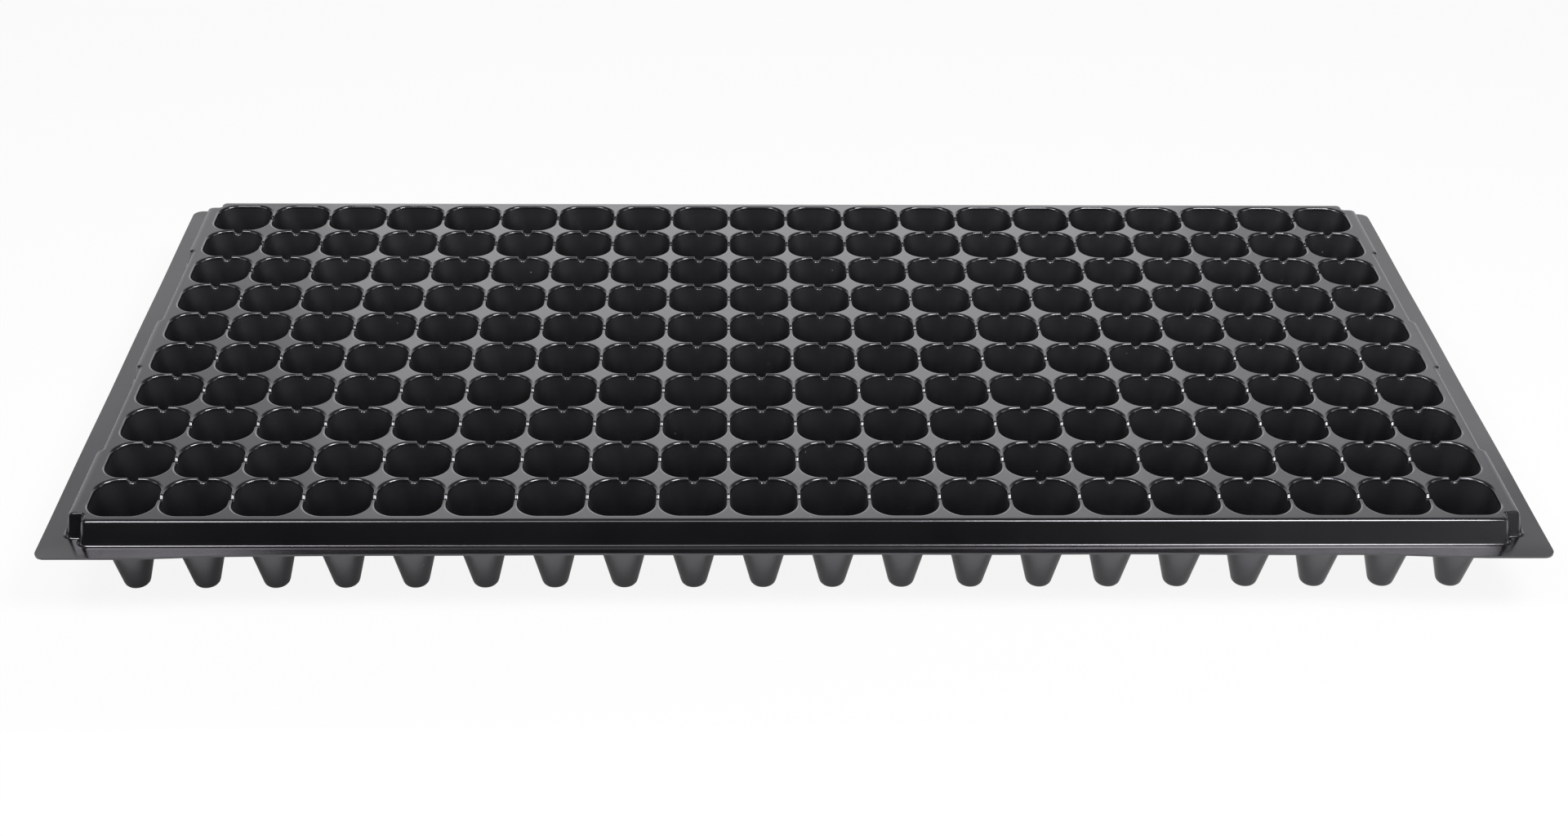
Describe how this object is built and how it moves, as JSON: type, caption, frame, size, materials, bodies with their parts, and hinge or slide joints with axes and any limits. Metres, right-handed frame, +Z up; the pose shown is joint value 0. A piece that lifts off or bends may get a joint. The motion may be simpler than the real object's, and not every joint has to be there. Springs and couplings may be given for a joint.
{
  "type": "seed tray",
  "caption": "Flat black plug tray: a deck of tapered cells with drained floors, a step-down skirt and a flat flange round the edge.",
  "frame": {"origin": "under the middle of the tray, on the plane that the cell floors stand on", "axes": "+X along the long side, +Y from the front long side to the back, +Z up out of the cells"},
  "size_m": [0.54, 0.28, 0.0375],
  "materials": {
    "formed_sheet": "satin black formed polystyrene sheet, glossier on the drawn walls than on the deck"
  },
  "bodies": {
    "root": {"cell_column_01": "formed_sheet", "cell_column_02": "formed_sheet", "cell_column_03": "formed_sheet", "cell_column_04": "formed_sheet", "cell_column_05": "formed_sheet", "cell_column_06": "formed_sheet", "cell_column_07": "formed_sheet", "cell_column_08": "formed_sheet", "cell_column_09": "formed_sheet", "cell_column_10": "formed_sheet", "cell_column_11": "formed_sheet", "cell_column_12": "formed_sheet", "cell_column_13": "formed_sheet", "cell_column_14": "formed_sheet", "cell_column_15": "formed_sheet", "cell_column_16": "formed_sheet", "cell_column_17": "formed_sheet", "cell_column_18": "formed_sheet", "cell_column_19": "formed_sheet", "cell_column_20": "formed_sheet", "rim_front": "formed_sheet", "rim_back": "formed_sheet", "rim_left": "formed_sheet", "rim_right": "formed_sheet", "corner_front_left": "formed_sheet", "corner_front_right": "formed_sheet", "corner_back_left": "formed_sheet", "corner_back_right": "formed_sheet"}
  },
  "joints": []
}
